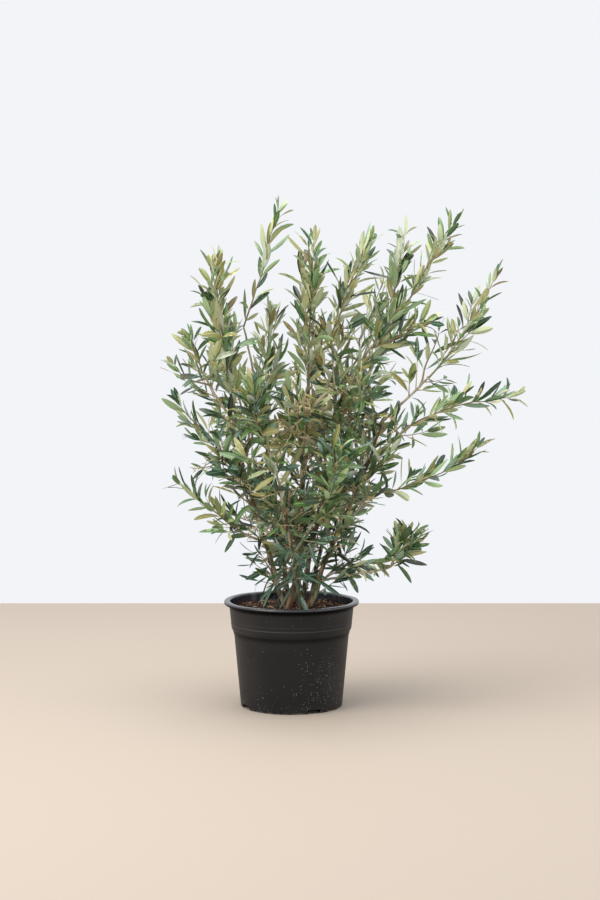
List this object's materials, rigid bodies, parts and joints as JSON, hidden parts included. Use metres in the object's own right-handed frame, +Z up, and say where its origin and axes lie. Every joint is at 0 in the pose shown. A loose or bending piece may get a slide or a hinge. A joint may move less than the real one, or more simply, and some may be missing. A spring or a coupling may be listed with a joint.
{
  "type": "potted olive tree",
  "caption": "Young many-stemmed olive bush with slender grey-green leaf sprays, in a round black nursery pot of moist compost.",
  "frame": {"origin": "middle of the pot's flat underside, on the surface that the plant stands on", "axes": "+Z up through the pot and plant, front of the plant towards -Y, +X to the right of the front view"},
  "size_m": [0.688, 0.5275, 0.973],
  "materials": {
    "pot_plastic": "satin black moulded plastic, dusty and scuffed towards the foot",
    "compost": "rough moist compost with bark and coir chips",
    "stem_bark": "rough grey-brown bark with rust-coloured patches",
    "bough_bark": "smooth young grey-tan bark",
    "twigs": "smooth fresh green-tan twigs",
    "leaves": "leathery leaves, satin dark green above and pale silvery olive below"
  },
  "bodies": {
    "root": {"pot": "pot_plastic", "soil": "compost", "stem_left": "stem_bark", "stem_inner_left": "stem_bark", "stem_centre": "stem_bark", "stem_right": "stem_bark", "stem_far_right": "stem_bark", "stem_back": "stem_bark", "stem_back_right": "stem_bark", "stem_front": "stem_bark", "bough_left_arm": "bough_bark", "bough_tall_wand": "bough_bark", "bough_left_low": "bough_bark", "bough_left_mid": "bough_bark", "bough_right_arm": "bough_bark", "bough_far_right": "bough_bark", "bough_right_low": "bough_bark", "bough_low_right": "bough_bark", "bough_upper_right": "bough_bark", "bough_centre_right": "bough_bark", "bough_back_left": "bough_bark", "bough_back_right": "bough_bark", "bough_front_left": "bough_bark", "bough_front_right": "bough_bark", "foliage_left_spire": "leaves", "foliage_tall_wand": "leaves", "foliage_centre_spire": "leaves", "foliage_left_arm": "leaves", "foliage_left_tip": "leaves", "foliage_mid_left": "leaves", "foliage_lower_left": "leaves", "foliage_inner_left": "leaves", "foliage_centre_wand": "leaves", "foliage_right_crest": "leaves", "foliage_right_peak": "leaves", "foliage_right_shoulder": "leaves", "foliage_right_top": "leaves", "foliage_right_arm": "leaves", "foliage_right_upright": "leaves", "foliage_far_right": "leaves", "foliage_right_mid": "leaves", "foliage_right_lower": "leaves", "foliage_low_right": "leaves", "foliage_right_foot": "leaves", "foliage_left_foot": "leaves", "foliage_heart_left": "leaves", "foliage_heart_right": "leaves", "foliage_heart_centre": "leaves", "foliage_heart_low": "leaves", "foliage_left_waist": "leaves", "foliage_right_waist": "leaves", "foliage_front_left": "leaves", "foliage_front_right": "leaves", "foliage_front_foot": "leaves", "foliage_back_tall": "leaves", "foliage_back_left": "leaves", "foliage_back_right": "leaves", "foliage_back_low_left": "leaves", "foliage_back_low_right": "leaves", "foliage_back_heart": "leaves"}
  },
  "joints": []
}
